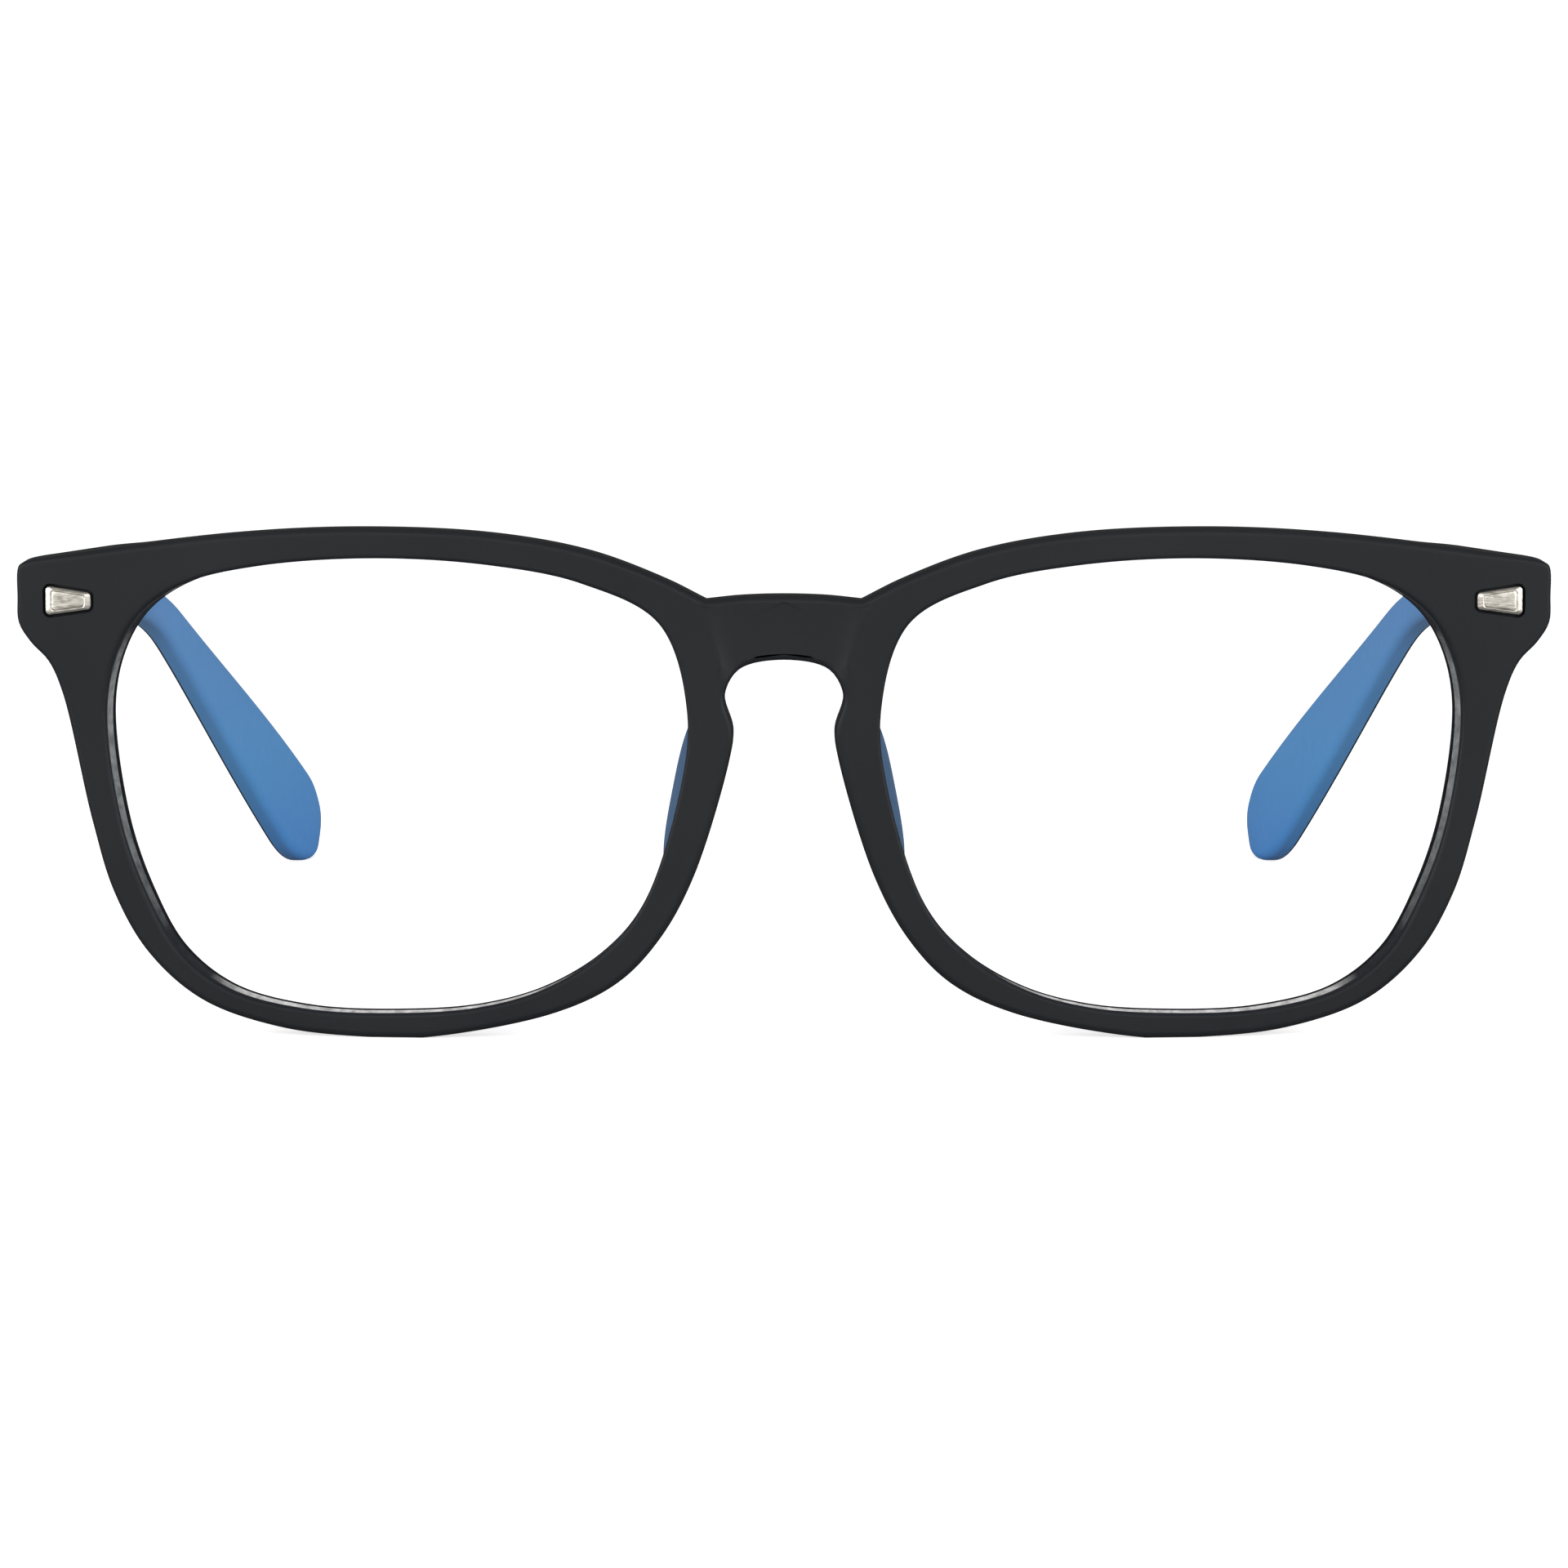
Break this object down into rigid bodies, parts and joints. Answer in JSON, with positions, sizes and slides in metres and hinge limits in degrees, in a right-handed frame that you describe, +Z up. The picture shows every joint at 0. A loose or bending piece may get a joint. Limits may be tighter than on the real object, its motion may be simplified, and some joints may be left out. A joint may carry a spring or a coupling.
{
  "type": "blue light glasses",
  "caption": "Full-rim spectacles with a keyhole bridge, clear lenses in a bowed plastic front, nose pads, and two-tone folding temples on barrel hinges.",
  "frame": {"origin": "middle of the bridge's flat front face, on the mirror plane, 38.5 mm above the surface the glasses stand on", "axes": "+X to the wearer's left, +Y from the front back along the temples, -Y out of the bridge's front face, +Z up"},
  "size_m": [0.1434, 0.1482, 0.0477],
  "materials": {
    "frame_black": "matte charcoal moulded plastic",
    "temple_blue": "satin slate-blue moulded plastic",
    "pad_blue": "satin blue moulded plastic",
    "lens_clear": "clear polished lens with a faint blue reflective coating",
    "plaque_silver": "polished warm silver",
    "hinge_steel": "fine satin steel",
    "screw_steel": "turned steel"
  },
  "bodies": {
    "front": {"front_frame": "frame_black", "lens_left": "lens_clear", "nose_pad_left": "pad_blue", "plaque_left": "plaque_silver", "front_hinge_leaf_left": "hinge_steel", "hinge_screw_left": "screw_steel", "lens_right": "lens_clear", "nose_pad_right": "pad_blue", "plaque_right": "plaque_silver", "front_hinge_leaf_right": "hinge_steel", "hinge_screw_right": "screw_steel"},
    "temple_left": {"temple_inner_left": "temple_blue", "temple_outer_left": "frame_black", "temple_hinge_leaf_left": "hinge_steel", "leaf_screw_front_left": "screw_steel", "leaf_screw_rear_left": "screw_steel"},
    "temple_right": {"temple_inner_right": "temple_blue", "temple_outer_right": "frame_black", "temple_hinge_leaf_right": "hinge_steel", "leaf_screw_front_right": "screw_steel", "leaf_screw_rear_right": "screw_steel"}
  },
  "joints": [
    {"name": "temple_left_fold", "type": "hinge", "parent": "front", "child": "temple_left", "pos_m": [0.0661, 0.0119, 0.0023], "axis": [0, 0, 1], "range_deg": [0, 85]},
    {"name": "temple_right_fold", "type": "hinge", "parent": "front", "child": "temple_right", "pos_m": [-0.0661, 0.0119, 0.0023], "axis": [0, 0, -1], "range_deg": [0, 78]}
  ]
}
